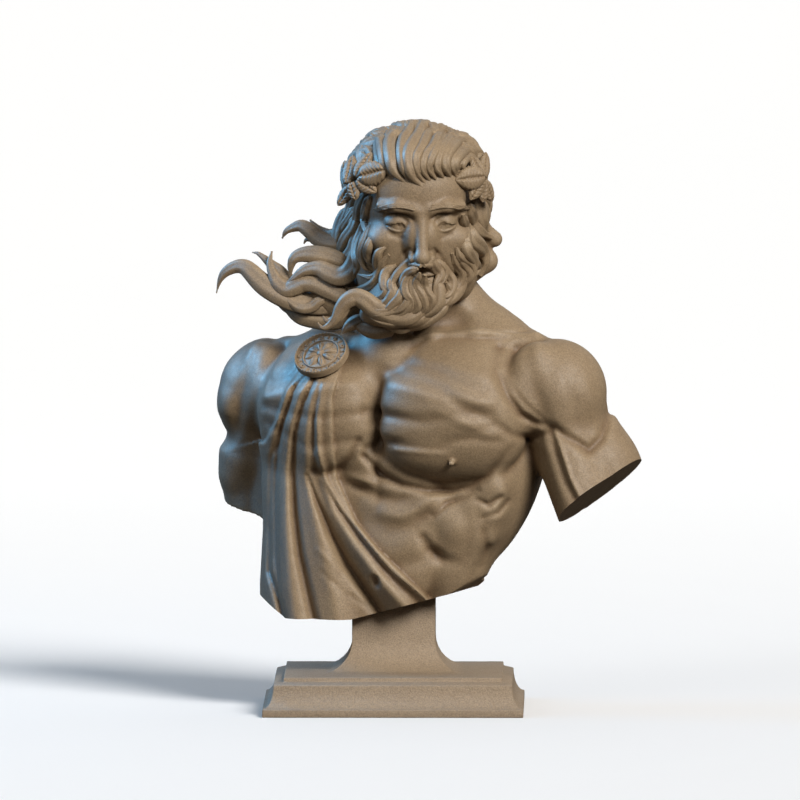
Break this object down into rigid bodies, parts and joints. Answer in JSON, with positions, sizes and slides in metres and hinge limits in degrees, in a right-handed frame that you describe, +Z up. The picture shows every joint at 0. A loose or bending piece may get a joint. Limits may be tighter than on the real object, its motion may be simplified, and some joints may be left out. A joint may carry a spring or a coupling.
{
  "type": "portrait bust",
  "caption": "Bearded classical bust with wind-blown hair, a leaf wreath and a draped cloth held by a round clasp, on a square moulded plinth.",
  "frame": {"origin": "centre of the plinth's underside", "axes": "+Z up through the plinth's neck, -Y to the front of the square plinth, +X to the figure's left"},
  "size_m": [0.213, 0.13, 0.2959],
  "materials": {
    "figure_resin": "satin brown cast resin with a fine speckle",
    "plinth_resin": "matt brown cast resin with a coarse speckle like stone"
  },
  "bodies": {
    "root": {"bust": "figure_resin", "plinth": "plinth_resin"}
  },
  "joints": []
}
